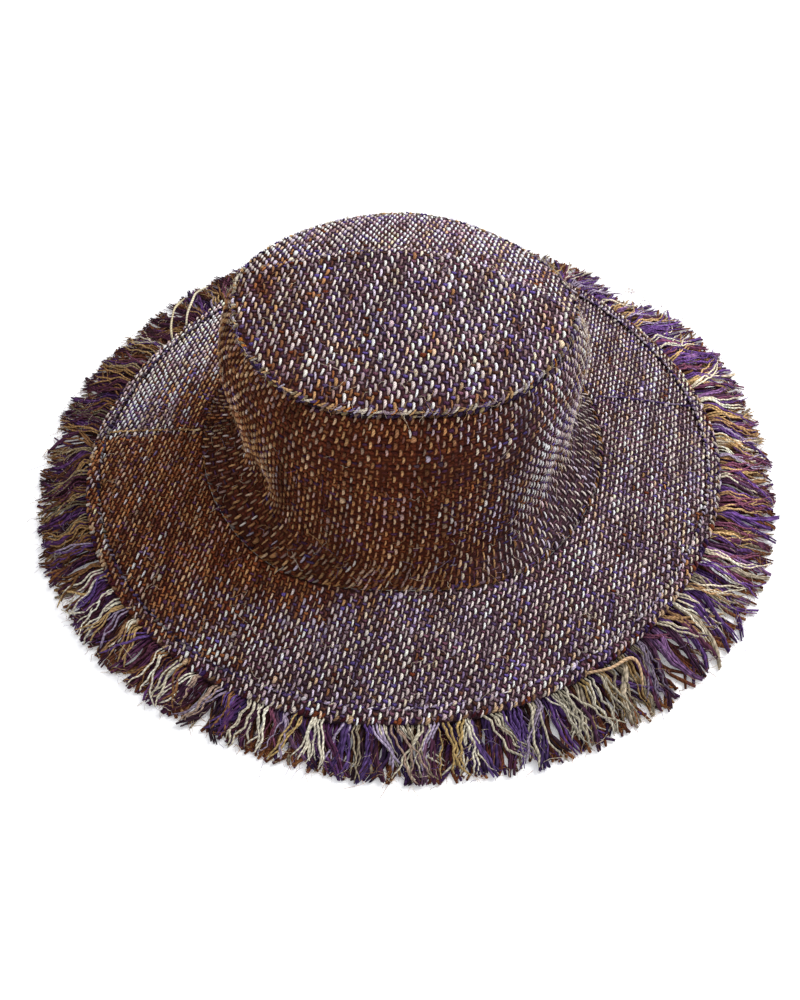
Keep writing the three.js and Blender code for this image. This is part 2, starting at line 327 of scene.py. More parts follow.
def joined(name, shape, corners, tints, lays, unwrapped, material):
    """One mesh of many copies of a shape. corners, tints and lays are (copies, points, 3)."""
    copies, points = corners.shape[:2]
    sizes = np.array([len(face) for face in shape[1]])
    loops = np.concatenate([np.array(face) for face in shape[1]])
    starts = np.concatenate([[0], np.cumsum(sizes)[:-1]])
    each = np.arange(copies)[:, None]
    mesh = bpy.data.meshes.new(name)
    mesh.vertices.add(copies * points)
    mesh.vertices.foreach_set("co", (corners * MM).astype(np.float32).ravel())
    mesh.loops.add(copies * len(loops))
    mesh.loops.foreach_set("vertex_index", (loops + each * points).ravel().astype(np.int32))
    mesh.polygons.add(copies * len(sizes))
    mesh.polygons.foreach_set("loop_start", (starts + each * len(loops)).ravel().astype(np.int32))
    mesh.polygons.foreach_set("use_smooth", np.ones(copies * len(sizes), bool))
    mesh.update()
    mesh.validate()
    colours = np.ones((copies, points, 4), np.float32)
    colours[..., :3] = tints
    mesh.attributes.new("tint", "FLOAT_COLOR", "POINT").data.foreach_set("color", colours.ravel())
    turns = lays.astype(np.float32).ravel()
    mesh.attributes.new("lay", "FLOAT_VECTOR", "POINT").data.foreach_set("vector", turns)
    # In the baked picture each copy has a square cell of its own, with a margin round it.
    cells = math.ceil(math.sqrt(copies))
    cell = np.stack([np.arange(copies) % cells, np.arange(copies) // cells], 1)[:, None]
    uv = (cell + 0.06 + 0.88 * unwrapped[loops][None]) / cells
    mesh.uv_layers.new(name="OFBake").data.foreach_set("uv", uv.astype(np.float32).ravel())
    mesh.materials.append(material)
    piece = placed(name, mesh)
    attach(piece, "root")
    return piece


def lay_floats(name, slot, shape, spots, ways, normals, size, tints, turn=0.09, ends=0.62, lean=0.0):
    """Floats at these spots along these ways. size has long, wide, thick and rise, as arrays or numbers. Each
    float's way swings by about turn from lean, and its ends are painted darker as shade, by the share ends."""
    count = len(spots)
    swing = rng.normal(lean, turn, count)[:, None]
    way = unit(ways + np.cross(normals, ways) * swing)
    side = np.cross(normals, way)
    long = (size["long"] * rng.normal(1, 0.07, count))[:, None]
    wide = (size["wide"] * rng.normal(1, 0.09, count))[:, None]
    thick = (size["thick"] * rng.normal(1, 0.09, count))[:, None]
    rise = (size["rise"] + rng.normal(0, 0.08, count))[:, None]
    middle = spots + normals * rise + side * rng.normal(0, 0.12, count)[:, None]
    x, y, z = shape[0].T
    corners = (
        middle[:, None]
        + (x * long)[..., None] * way[:, None]
        + (y * wide)[..., None] * side[:, None]
        + (z * thick)[..., None] * normals[:, None]
    )
    round_it = np.arctan2(y, z + 0.25 * (2 * x) ** 2)
    lays = np.stack([x * long, round_it * wide / 2, np.repeat(rng.random((count, 1)) * 9, len(x), 1)], -1)
    # Painted shade: each float is darker towards its ends, where it dives under the crossing yarns, and on
    # its underside.
    shade = (1 - ends * np.abs(2 * x) ** 3) * (0.84 + 0.16 * np.cos(round_it))
    unwrapped = np.stack([x + 0.5, round_it / (2 * math.pi) + 0.5], 1)
    shaded = tints[:, None] * shade[None, :, None]
    return joined(name, shape, corners, shaded, lays, unwrapped, woven_yarn)


def palette(*entries):
    """Yarn colours with their shares."""
    shares = np.array([share for _, share in entries], float)
    return np.array([to_linear(colour) for colour, _ in entries]), shares / shares.sum()


def picked(colours, count):
    return colours[0][rng.choice(len(colours[1]), count, p=colours[1])]


COOL_WARP = palette(
    ("#e0d0ca", 24), ("#cfbdb8", 20), ("#ece0d6", 14), ("#dccbb4", 10), ("#bba4a8", 12), ("#cbbdcd", 8),
    ("#cfb094", 5), ("#937878", 3), ("#72607f", 3), ("#a88a6c", 1),
)
# The warm palettes give browner yarn, and also painted warm shade where the warmth of a place puts them.
WARM_WARP = palette(
    ("#bf9264", 18), ("#a8784f", 16), ("#c8a684", 12), ("#986c4c", 14), ("#a88a74", 12), ("#84573a", 11),
    ("#b08e84", 9), ("#5f3b30", 5), ("#a5683f", 2),
)
COOL_WEFT = palette(
    ("#523e62", 24), ("#4a3644", 20), ("#54447c", 8), ("#5e3c4a", 16), ("#6c5660", 18), ("#4c3028", 14),
)
WARM_WEFT = palette(("#5a2a18", 28), ("#46201a", 22), ("#6e3a20", 17), ("#4c2c44", 15), ("#7a4a2c", 18))


def yarn_runs(rows, places, longest=10):
    """Numbers the stretches of each yarn, a few floats long, that hand spinning leaves in one colour."""
    line = rows - rows.min()
    yarns = line.max() + 1
    length = rng.uniform(3, longest, yarns)[line]
    start = rng.uniform(0, longest, yarns)[line]
    stretch = np.floor((places - places.min() + start) / length).astype(int)
    return line, np.unique(line * 1000 + stretch, return_inverse=True)[1].ravel()


def yarn_tints(rows, places, cool, warm, warmth, light, own=0.25):
    """Colours of floats. Most floats keep the colour of their stretch of yarn, which makes streaks."""
    line, run = yarn_runs(rows, places)
    count, yarns, runs = len(rows), line.max() + 1, run.max() + 1
    is_warm = 0.7 * rng.random(runs)[run] + 0.3 * rng.random(count) < 0.04 + 0.88 * warmth
    by_run = np.where(is_warm[:, None], picked(warm, runs)[run], picked(cool, runs)[run])
    by_float = np.where(is_warm[:, None], picked(warm, count), picked(cool, count))
    tint = np.where((rng.random(count) < own)[:, None], by_float, by_run)
    streak = np.clip(rng.normal(1, 0.12, yarns), 0.7, 1.3)[line] * rng.normal(1, 0.1, runs)[run]
    return np.clip(tint * (light * streak * rng.normal(1, 0.08, count))[:, None], 0.002, 0.95)


def patches(spots):
    """Soft light and dark patches, a few centimetres across, where the spinning and the dye vary."""
    x, y, z = spots.T
    broad = np.sin(0.071 * x - 0.052 * y + 0.06 * z + 0.8) * np.sin(0.047 * x + 0.083 * y - 0.05 * z)
    small = np.sin(0.19 * x + 0.11 * y + 2.0) * np.sin(0.13 * x - 0.21 * y + 0.1 * z + 1.1)
    return 1 + 0.12 * broad + 0.08 * small


def warp_bands(across):
    """Paler and darker bands of warp, one to three centimetres wide, as its yarn was spun in lots."""
    return 1 + 0.11 * np.sin(0.27 * across + 1.5 * np.sin(0.05 * across)) + 0.09 * np.sin(0.61 * across + 0.7)


def slubs(rows, places, chance=0.02):
    """How thick each float is: yarn is uneven along its length, and here and there a slub swells it."""
    line, run = yarn_runs(rows, places, 7)
    floats, runs = len(rows), run.max() + 1
    swell = rng.normal(1, 0.08, line.max() + 1)[line] * rng.normal(1, 0.12, runs)[run]
    single = np.where(rng.random(floats) < chance, rng.uniform(1.3, 1.9, floats), 1)
    fat_run = np.where(rng.random(runs) < chance, rng.uniform(1.3, 1.7, runs), 1)[run]
    return np.minimum(np.clip(swell, 0.7, 1.4) * single * fat_run, 2.1)


warp_shape = float_shape(4, 6)
weft_shape = float_shape(3, 5)


def lay_weave(
    name, slot, i, j, spots, along, across, gaps, warmth, light, gain=1.0, lean=0.0, thin=1.0, long=1.0
):
    """Raised warp and weft of a plain weave: warp floats where i + j is even, weft floats where it is odd.
    gaps are from warp to warp and weft to weft, gain is the weft's light, and lean turns the warp floats."""
    warp_gap, weft_gap, thin, long = (np.broadcast_to(value, len(i)) for value in (*gaps, thin, long))
    normals = unit(np.cross(across, along))
    over = (i + j) % 2 == 0
    warp = (over, along, WARP_FLOAT, warp_shape, i, j, COOL_WARP, WARM_WARP, weft_gap, warp_gap, 1.0, lean)
    weft = (~over, across, WEFT_FLOAT, weft_shape, j, i, COOL_WEFT, WARM_WEFT, warp_gap, weft_gap, gain, 0.0)
    pieces = []
    for kind, yarns in (("warp", warp), ("weft", weft)):
        pick, ways, size, shape, rows, places, cool, warm, run, gap, bright, turned = yarns
        swell = slubs(rows[pick], places[pick])
        sizes = {
            "long": size["long"] * run[pick] * long[pick],
            "wide": size["wide"] * gap[pick] * swell * thin[pick],
            "thick": size["thick"] * swell**0.6 * thin[pick],
            "rise": size["rise"],
        }
        tints = yarn_tints(rows[pick], places[pick], cool, warm, warmth[pick], bright * light[pick])
        laid = (spots[pick], ways[pick], normals[pick])
        pieces.append(lay_floats(f"{name}_{kind}_yarns", slot, shape, *laid, sizes, tints, lean=turned))
    return pieces


def flat_weave(name, slot, face_at, inside, spacing, warmth_at, light_at, lean=0.0):
    """The raised yarns of a panel cut flat: a slightly uneven lattice on the plan, lifted onto its face."""
    warps, wefts = int(WEAVE_REACH / spacing[0]), int(WEAVE_REACH / spacing[1])
    i, j = np.meshgrid(np.arange(-warps, warps + 1), np.arange(-wefts, wefts + 1), indexing="ij")
    i, j = i.ravel(), j.ravel()
    wander = 0.28 * np.sin(0.55 * j + 1.7 * i) + 0.35 * np.sin(0.11 * j + 0.05 * i)
    plan = (i * spacing[0] + wander)[:, None] * WEFT_WAY
    plan = plan + (j * spacing[1] + 0.3 * np.sin(0.09 * i + 0.4 * j))[:, None] * WARP_WAY
    keep = inside(plan)
    i, j, plan = i[keep], j[keep], plan[keep]
    along, across = (unit(face_at(plan + way) - face_at(plan - way)) for way in (WARP_WAY / 2, WEFT_WAY / 2))
    spots, lot = face_at(plan), plan @ WEFT_WAY
    # Here and there a few warps are of a warmer lot.
    warm_lots = smooth(0.8, 1.0, np.sin(0.19 * lot + 1.9 + 0.8 * np.sin(0.031 * lot)))
    warmth = warmth_at(spots) + WARM_LOTS * warm_lots
    light = light_at(spots) * patches(spots) * warp_bands(lot) * WEAVE_LIGHT
    return lay_weave(name, slot, i, j, spots, along, across, spacing, warmth, light, WEFT_GAIN, lean)


def turn_and_radius(plan):
    return np.arctan2(plan[:, 1], plan[:, 0]), np.hypot(plan[:, 0], plan[:, 1])


def tip_at(plan):
    angle, radius = turn_and_radius(plan)
    return tip_face(angle, radius / around(TIP_RADII, angle))


def on_tip(plan):
    angle, radius = turn_and_radius(plan)
    return radius < around(TIP_RADII, angle) - 1.6


def tip_warmth(spots):
    """How warm the colour is, from 0 to 1: warmer to the front left and along the front rim. It is partly
    browner yarn and partly painted warm shade.
    """
    x, y = spots[:, 0], spots[:, 1]
    return 0.45 * smooth(10, -85, x) * smooth(40, 0, y) + 0.3 * smooth(-55, -86, y)


# Painted light: the tip's yarns are painted brighter towards the right and towards the back, where the lamp
# is.
def tip_painted_light(spots):
    return 1.02 + 0.3 * smooth(-60, 60, spots[:, 0]) + 0.36 * smooth(12, 50, spots[:, 1])


tip_cloth = panel("crown_tip", "crown_cloth", tip_face, (120, 44), flat_grain(TIP_SPACING), tip_warmth)
weave = (tip_at, on_tip, TIP_SPACING, tip_warmth, tip_painted_light, TIP_LEAN)
tip_yarns = flat_weave("crown_tip", "crown_cloth", *weave)

# Crown band: a strip of the same cloth, sewn into a ring, with its warp up the wall at a slight lean. It is
# gathered by its foot, where it flares out to the brim, and the gathers leave a waist and soft puckers above.
BELLY_RADII = (96, 96, 95, 98, 95, 95, 94, 93, 95, 96, 97, 95)
WAIST_RADII = (91, 91, 93, 99, 95, 92, 91, 90, 101, 104, 102, 95)
FOOT_RADII = (110, 109, 110, 112, 110, 109, 110, 113, 118, 114, 119, 114)
FOOT_HEIGHT, FOOT_ROLL = 17.5, 3.5
WAIST_HEIGHT, WAIST_ROLL = 27, 1.5
HIP_HEIGHT, BELLY_HEIGHT, SHOULDER_DROP = 46, 74, 11
SEAM_GAP = 0.3
PUCKER_TALL, SEWN_SHARE = 16, 0.31
# Each pucker's angle and width in degrees, its depth and its height.
PUCKERS = (
    (195, 7, 2.5, 34),
    (219, 9, 5, 32),
    (248, 7, 2, 30),
    (292, 6, 2, 34),
    (310, 7, 2, 38),
    (327, 9, 4, 34),
    (348, 7, 2, 30),
    (25, 9, 2, 34),
    (62, 8, 2.5, 30),
    (104, 9, 2, 32),
    (143, 8, 2.5, 34),
)
BAND_WARPS, BAND_WEFTS, BAND_STRIPES = 214, 36, 72
BAND_LEAN = 0.19


def wall_face(angle, s):
    """Outer face of the crown band, from the tip seam (s = 0) down to its foot (s = 1)."""
    tip, belly, waist, foot = (
        around(radii, angle) for radii in (TIP_RADII, BELLY_RADII, WAIST_RADII, FOOT_RADII)
    )
    seam = tip_face(angle, np.ones_like(angle))[..., 2] - CLOTH - SEAM_GAP
    level = np.zeros_like(angle)
    section = np.array([
        (tip, seam),
        (tip + 0.65 * (belly - tip), seam - SHOULDER_DROP),
        (belly, BELLY_HEIGHT + level),
        (waist + 0.35 * (belly - waist), HIP_HEIGHT + level),
        (waist + WAIST_ROLL, WAIST_HEIGHT + level),
        ((foot + waist) / 2, FOOT_HEIGHT + FOOT_ROLL + level),
        (foot, FOOT_HEIGHT + level),
    ])
    last = len(section) - 1
    place = np.clip(s, 0, 1) * last
    row = np.clip(np.floor(place), 0, last - 1).astype(int)
    t = place - row
    each = np.arange(len(angle))
    near = (section[np.clip(row + k, 0, last), :, each].T for k in (-1, 0, 1, 2))
    radius, height = curve(*near, t)
    drawn_in = np.zeros_like(angle)
    for where, width, depth, tall in PUCKERS:
        away = (np.degrees(angle) - where + 180) % 360 - 180
        drawn_in += depth * np.exp(-((away / width) ** 2) - ((height - tall) / PUCKER_TALL) ** 2)
    free = np.sin(math.pi / 2 * np.minimum(1, (1 - s) / SEWN_SHARE))
    soft = ripple(radius * np.cos(angle), radius * np.sin(angle), height) * np.sin(math.pi * s)
    return polar(angle, radius - free * drawn_in + soft, height)


def even_rows(face, rows):
    """Where weft rows lie when they are evenly spaced down the wall, as s, and the mean gap between them."""
    s = np.linspace(0, 1, 201)
    lines = np.stack([face(np.full_like(s, angle), s) for angle in np.radians(np.arange(0, 360, 15))])
    run = np.concatenate([[0], np.cumsum(np.linalg.norm(np.diff(lines, axis=1), axis=2).mean(0))])
    return np.interp((np.arange(rows) + 0.5) / rows * run[-1], run, s), run[-1] / rows


WEFT_ROWS, WEFT_GAP = even_rows(wall_face, BAND_WEFTS)


def wall_grain(spots):
    warp = np.arctan2(spots[:, 1], spots[:, 0]) * BAND_WARPS / (2 * math.pi)
    return np.stack([warp, spots[:, 2] / WEFT_GAP, 0 * warp], 1)


# Warm on the left and middle of the wall, cooler to the right and a little cooler at the foot: partly browner
# yarn, partly painted warm shade on the side away from the lamp.
def wall_warmth(spots):
    return 0.97 - 0.88 * smooth(0, 84, spots[:, 0]) - 0.1 * smooth(30, 19, spots[:, 2])


band_cloth = panel("crown_band", "band_cloth", wall_face, (168, 36), wall_grain, wall_warmth)

i, j = np.meshgrid(np.arange(BAND_WARPS), np.arange(BAND_WEFTS), indexing="ij")
i, j = i.ravel(), j.ravel()
s = WEFT_ROWS[j]
turn = 2 * math.pi / BAND_WARPS
angle = (i + 0.14 * np.sin(0.55 * j + 1.7 * i)) * turn + BAND_LEAN * (1 - s)
spots = wall_face(angle, s)
step = 0.004
along = unit(wall_face(angle + step * BAND_LEAN, s - step) - wall_face(angle - step * BAND_LEAN, s + step))
across = unit(wall_face(angle + step, s) - wall_face(angle - step, s))
gaps = (np.linalg.norm(spots[:, :2], axis=1) * turn, WEFT_GAP)
x, y, z = spots.T
# Painted light: the wall's yarns are painted brighter towards the right and the back, where the lamp is, and
# a little darker again at the far right.
light = 0.97 + 0.42 * smooth(15, 65, x) - 0.1 * smooth(70, 95, x) + 0.15 * smooth(0, 90, y)
# The gathers draw the yarns thin towards the foot and on the right. Where the foot flares, the floats are
# longer, and in the shade of the crown.
drawn_thin = 1 - 0.26 * smooth(0, 60, x) - 0.12 * smooth(60, 38, z)
flare = smooth(31, 22, z)
light = light * (1 - 0.2 * flare)
# The warp was set up in stripes of a few yarns, some paler and some darker.
stripes = np.clip(rng.normal(1, 0.2, BAND_STRIPES), 0.6, 1.38)[i * BAND_STRIPES // BAND_WARPS]
light = light * patches(spots) * stripes
weave = (i, j, spots, along, across, gaps, wall_warmth(spots), light)
band_yarns = lay_weave("crown_band", "band_cloth", *weave, thin=drawn_thin, long=1 + 0.16 * flare)

# Tip seam: the two edges are turned in and overcast from outside with mixed hemp yarn, which stands up as an
# uneven corded ridge of short slanted strands, with dark strands under it that close the join.
SEAM_PLACE = 0.992
RIDGE_STRANDS = 270
RIDGE_STRAND = {"long": 4.4, "wide": 1.05, "thick": 1.4, "rise": 0.6}
RIDGE_UNDER = {"long": 4.2, "wide": 1.4, "thick": 1.4, "rise": 0.35}
RIDGE_SLANT = 32
RIDGE_COLOURS = palette(
    ("#d8ccb8", 22), ("#cabfd0", 14), ("#c9a070", 15), ("#b4702f", 8), ("#8f7a86", 12), ("#5a4478", 14),
    ("#3a2448", 8), ("#8c7a60", 10),
)
RIDGE_UNDER_COLOURS = palette(
    ("#34243e", 26), ("#4a3450", 18), ("#5a3e2a", 18), ("#8a7060", 14), ("#24161a", 16), ("#a08a60", 8)
)


def sewn_ring(
    name, slot, face, s, out, count, size, slant, colours,
    light=1.0, offset=0.0, raised=0.0, turn=0.22, varied=0.0,
):
    """A ring of slanted strands that overcast an edge. out tips them from the face's normal to outwards,
    slant is in degrees, and varied is how uneven in width they are."""
    angle = (np.arange(count) + offset + rng.normal(0, 0.14, count)) * 2 * math.pi / count
    place, slant = np.full(count, s), math.radians(slant)
    step = 0.01
    inner = np.clip(place, step, 1 - step)
    ring = unit(face(angle + step, place) - face(angle - step, place))
    outward = unit(face(angle, inner + step) - face(angle, inner - step))
    normals = unit(np.cross(outward, ring) * (1 - abs(out)) + outward * out)
    ways = ring * math.cos(slant) + np.cross(normals, ring) * math.sin(slant)
    tints = np.clip(picked(colours, count) * rng.normal(light, 0.14, count)[:, None], 0.003, 0.95)
    swell = np.clip(rng.normal(1, varied, count), 0.55, 1.7)
    sizes = {key: value * swell if key in ("wide", "thick") else value for key, value in size.items()}
    spots = face(angle, place) + (0, 0, raised)
    return lay_floats(name, slot, warp_shape, spots, ways, normals, sizes, tints, turn=turn, ends=0.35)


# On the right the seam's yarn is darker and sinks into the weave.
ridge_light = 1 - 0.35 * smooth(0.3, 0.75, np.cos(np.arange(RIDGE_STRANDS) * 2 * math.pi / RIDGE_STRANDS))
tip_ridge = sewn_ring(
    "tip_seam_ridge", "crown_cloth", tip_face, SEAM_PLACE, 0.4, RIDGE_STRANDS, RIDGE_STRAND, RIDGE_SLANT,
    RIDGE_COLOURS, light=ridge_light, turn=0.42, varied=0.22,
)
tip_ridge_under = sewn_ring(
    "tip_seam_under_strands", "crown_cloth", wall_face, 0.0, -0.3, RIDGE_STRANDS, RIDGE_UNDER, RIDGE_SLANT,
    RIDGE_UNDER_COLOURS, light=0.95, offset=0.5, raised=0.9, turn=0.4, varied=0.25,
)

# Brim: two half rings of the cloth, joined by a seam at each side and sewn to the crown band's foot. The brim
# droops a little and rests on its fringe. The left half of it is browner, partly as the yarn changed on the
# loom and partly as painted warm shade where the crown's shadow falls.
EDGE_RADII = (178, 177, 178, 177, 173, 169, 174, 178, 181, 180, 177, 176)
EDGE_LIFTS = (6, 6, 7, 6, 5, 4, 5, 6.5, 6, 6, 5, 7)
BRIM_BELLY = 1.5
BRIM_SPACING = (2.35, 2.7)
EDGE_BAND_WIDTH = 7
BRIM_INSIDE, BRIM_WIDTH, SIDE_GAP = 110, 68, 0.0006
SEAM_X, SEAM_Y = (-250, -60, 60, 250), (14, -14, 20, 24)


def brim_ends(angle):
    """Radii of the brim's inner and outer edges."""
    return around(FOOT_RADII, angle) + SEAM_GAP, around(EDGE_RADII, angle)


def brim_face(angle, s):
    """Outer face of the brim, from the crown's foot (s = 0) to its edge (s = 1)."""
    inner, outer = brim_ends(angle)
    radius = inner + (outer - inner) * s
    droop = (around(EDGE_LIFTS, angle) - FOOT_HEIGHT) * s
    belly = (BRIM_BELLY + ripple(radius * np.cos(angle), radius * np.sin(angle), 0)) * np.sin(math.pi * s)
    return polar(angle, radius, FOOT_HEIGHT + droop + belly)


def seam_line(x):
    """Where the side seams cross the brim: y for each x."""
    return np.interp(x, SEAM_X, SEAM_Y)


def brim_half(front):
    """A half of the brim between its side seams, whose first argument goes from 0 to 1 round the half."""

    def face(share, s):
        radius = BRIM_INSIDE + BRIM_WIDTH * s
        right = np.arcsin(seam_line(radius) / radius)
        left = math.pi - np.arcsin(seam_line(-radius) / radius)
        first, last = (left, right + 2 * math.pi) if front else (right, left)
        return brim_face(first + (last - first) * (SIDE_GAP + (1 - 2 * SIDE_GAP) * share), s)

    return face


def brim_at(plan):
    angle, radius = turn_and_radius(plan)
    inner, outer = brim_ends(angle)
    return brim_face(angle, (radius - inner) / (outer - inner))


def on_brim(front):
    """Which points of the plan lie on the front or the back half, between the foot and the edge band."""

    def inside(plan):
        angle, radius = turn_and_radius(plan)
        on_half = (plan[:, 1] < seam_line(plan[:, 0])) == front
        before_band = radius < around(EDGE_RADII, angle) - EDGE_BAND_WIDTH
        return on_half & (radius > around(FOOT_RADII, angle) + 1) & before_band

    return inside


def brim_warmth(spots):
    """Browner on the left in front of the side seam, and round the foot of the crown: partly browner yarn,
    and partly painted warm shade where the crown's shadow falls.
    """
    x, y = spots[:, 0], spots[:, 1]
    in_front = smooth(seam_line(x) + 2, seam_line(x) - 8, y)
    left = smooth(-5, -112, x) * in_front * smooth(-182, -95, y)
    foot = smooth(150, 110, np.hypot(x, y)) * smooth(32, -75, x)
    return np.clip(0.8 * left + 0.75 * foot, 0, 1)


# Painted light: the brim is painted brighter towards the right, where the lamp is, and on the left, where the
# crown's shadow falls; it is also paler on the left behind the side seam.
def brim_painted_light(spots):
    x, y = spots[:, 0], spots[:, 1]
    left = smooth(10, -100, x) * smooth(-185, -90, y)
    behind = smooth(-60, -120, x) * smooth(seam_line(x) - 1, seam_line(x) + 1, y)
    return 1.03 + 0.26 * left + 0.2 * behind + 0.14 * smooth(0, 120, x)


brim_cloths, brim_yarns = [], []
for name, front in (("brim_front", True), ("brim_back", False)):
    shape = (brim_half(front), (120, 24), flat_grain(BRIM_SPACING), brim_warmth, (0, 1))
    brim_cloths.append(panel(name, "brim_cloth", *shape))
    weave = (brim_at, on_brim(front), BRIM_SPACING, brim_warmth, brim_painted_light)
    brim_yarns.append(flat_weave(name, "brim_cloth", *weave))

# Crown seam and side seams: strands of tan and violet yarn sewn over the joins of the panels.
FOOT_STRANDS = 176
FOOT_STRAND = {"long": 4.2, "wide": 1.3, "thick": 1.3, "rise": 0.4}
FOOT_COLOURS = palette(
    ("#a8794a", 24), ("#8a5a34", 18), ("#b99a74", 16), ("#6a4460", 12), ("#3a2434", 14), ("#9a8a84", 16)
)
SIDE_STRAND = {"long": 4.0, "wide": 1.1, "thick": 1.1, "rise": 1.0}
SIDE_SEAM_FROM, SIDE_SEAM_TO, SIDE_SEAM_STEP = 114, 171, 3.1
LEFT_SEAM_COLOURS = palette(("#d2ab78", 40), ("#b08a5c", 25), ("#e0caa0", 20), ("#7a5a44", 15))
RIGHT_SEAM_COLOURS = palette(("#5a4478", 45), ("#8f7f98", 25), ("#3a2850", 30))
# The crown seam's strands are painted darker, at 0.6 of their colours, as shade in the hollow at the crown's
# foot.
foot_seam = sewn_ring(
    "crown_seam_strands", "band_cloth", wall_face, SEAM_PLACE, 0.1, FOOT_STRANDS, FOOT_STRAND, 35,
    FOOT_COLOURS, light=0.6,
)
side_seams = []
for name, side, colours in (("left", -1, LEFT_SEAM_COLOURS), ("right", 1, RIGHT_SEAM_COLOURS)):
    x = side * np.arange(SIDE_SEAM_FROM, SIDE_SEAM_TO, SIDE_SEAM_STEP)
    line = np.stack([x, seam_line(x)], 1)
    ways = unit(brim_at(line + (1.0, 0)) - brim_at(line - (1.0, 0)))
    ways = unit(ways + (0, 0.2, 0))
    normals = np.tile((0.0, 0.0, 1.0), (len(x), 1))
    tints = picked(colours, len(x))
    side_seams.append(
        lay_floats(
            f"{name}_side_seam", "brim_cloth", warp_shape, brim_at(line), ways, normals, SIDE_STRAND, tints
        )
    )

# Edge band: the last 7 mm of the brim, folded over and stitched down, so it stands above the brim. Its inner
# border is overcast with fine violet and white stitches.
EDGE_BAND_RISE, EDGE_BAND_THICKNESS = 1.7, 1.4
BORDER_STITCHES = 330
BORDER_STITCH = {"long": 3.1, "wide": 1.15, "thick": 1.2, "rise": 0.4}
BORDER_COLOURS = palette(
    ("#d6ccd2", 22), ("#a898b0", 18), ("#6a5688", 20), ("#46345e", 18), ("#8f8088", 12), ("#cfc0a8", 10)
)
RIM_STRANDS = 330
RIM_STRAND = {"long": 4.2, "wide": 1.5, "thick": 1.4, "rise": 0.1}
RIM_COLOURS = palette(
    ("#3a2450", 22), ("#4a1c24", 20), ("#8a6a50", 14), ("#d0ae88", 16), ("#7a3f24", 16), ("#d4c6b8", 12)
)


def edge_band_face(angle, s):
    """Outer face of the edge band, across its 7 mm."""
    inner, outer = brim_ends(angle)
    share = (outer - EDGE_BAND_WIDTH * (1 - s) - inner) / (outer - inner)
    return brim_face(angle, share) + (0, 0, EDGE_BAND_RISE)


def on_edge_band(plan):
    angle, radius = turn_and_radius(plan)
    edge = around(EDGE_RADII, angle)
    return (radius > edge - EDGE_BAND_WIDTH) & (radius < edge - 0.6)


def edge_at(plan):
    return brim_at(plan) + (0, 0, EDGE_BAND_RISE)


edge_cloth = panel(
    "edge_band", "edge_yarn", edge_band_face, (288, 4), flat_grain(BRIM_SPACING), brim_warmth,
    thickness=EDGE_BAND_THICKNESS,
)
weave = (edge_at, on_edge_band, BRIM_SPACING, brim_warmth, brim_painted_light)
edge_yarns = flat_weave("edge_band", "edge_yarn", *weave)
# The stitches are painted darker on the left, as shade on the side away from the lamp, and stand out
# elsewhere.
border_turn = np.arange(BORDER_STITCHES) * 2 * math.pi / BORDER_STITCHES
border_light = 0.95 - 0.55 * smooth(0.1, 0.7, -np.cos(border_turn))
edge_border = sewn_ring(
    "edge_band_border_stitches", "edge_yarn", edge_band_face, 0.0, 0.0, BORDER_STITCHES, BORDER_STITCH, 24,
    BORDER_COLOURS, light=border_light, turn=0.4, varied=0.25,
)
edge_rim = sewn_ring(
    "edge_band_rim_strands", "edge_yarn", edge_band_face, 0.86, 0.35, RIM_STRANDS, RIM_STRAND, 52,
    RIM_COLOURS, light=0.85, varied=0.2,
)

# Fringe: the brim's raw edge, unpicked for about 28 mm. Groups of fine cream, gold and tan yarns lie over
# thick soft ropes of violet roving, and those over dark yarns with rusty ends, on whatever the hat rests on.
FRINGE_RADII = (209, 214, 208, 207, 201, 198, 203, 205, 203, 206, 209, 210)
FRINGE_MIDDLE, FRINGE_LENGTH = 190, 28
SPARSE_AT, SPARSE_WIDTH = 43, 7
FRONT_THIN = palette(
    ("#d6ceba", 34), ("#bdb49e", 24), ("#aa905f", 9), ("#9e8676", 9), ("#a99ab2", 8), ("#5c447a", 8),
    ("#8c806c", 8),
)
SIDE_THIN = palette(
    ("#cec2aa", 24), ("#aa8c60", 16), ("#9c7a56", 11), ("#6e4052", 15), ("#5c3e74", 20), ("#918296", 14)
)
LEFT_THIN = palette(
    ("#8e7c5e", 15), ("#7c5838", 24), ("#4e2a3a", 22), ("#5e3e2a", 18), ("#6e6450", 8), ("#98764c", 13)
)
ROVING = palette(
    ("#3e2a54", 26), ("#33203e", 24), ("#523c6c", 13), ("#452438", 15), ("#2c1a24", 16), ("#66485e", 6)
)
RIGHT_ROVING = palette(
    ("#56396e", 26), ("#60364c", 22), ("#8c6c4a", 13), ("#44283e", 13), ("#76547c", 17), ("#b0a28c", 9)
)
LEFT_ROVING = palette(
    ("#48263e", 26), ("#3c1e2a", 24), ("#4e2e58", 20), ("#5c3626", 16), ("#2e161a", 14)
)
UNDER = palette(
    ("#4a2a1c", 22), ("#3a2018", 20), ("#3a1820", 20), ("#38204a", 20), ("#684a2a", 10), ("#2a1414", 8)
)
UNDER_TIPS = palette(
    ("#7c4f30", 22), ("#643822", 22), ("#4c2a1e", 22), ("#8a6c48", 10), ("#3e264a", 16), ("#8a7e6a", 8)
)
fringe_yarn = spun_hemp("frayed_hemp_yarn", 2.2, 0.08)
roving = spun_hemp("violet_hemp_roving", 4.0, 0.12)


def tube_shape(sides, stations):
    """A closed tube a unit long along Z, with its rings of points at equal stations."""
    shape = bmesh.new()
    bmesh.ops.create_cone(shape, cap_ends=True, segments=sides, radius1=1, radius2=1, depth=1)
    lengthwise = [edge for edge in shape.edges if abs(edge.verts[0].co.z - edge.verts[1].co.z) > 0.5]
    bmesh.ops.subdivide_edges(shape, edges=lengthwise, cuts=stations - 2, use_grid_fill=True)
    return taken(shape)


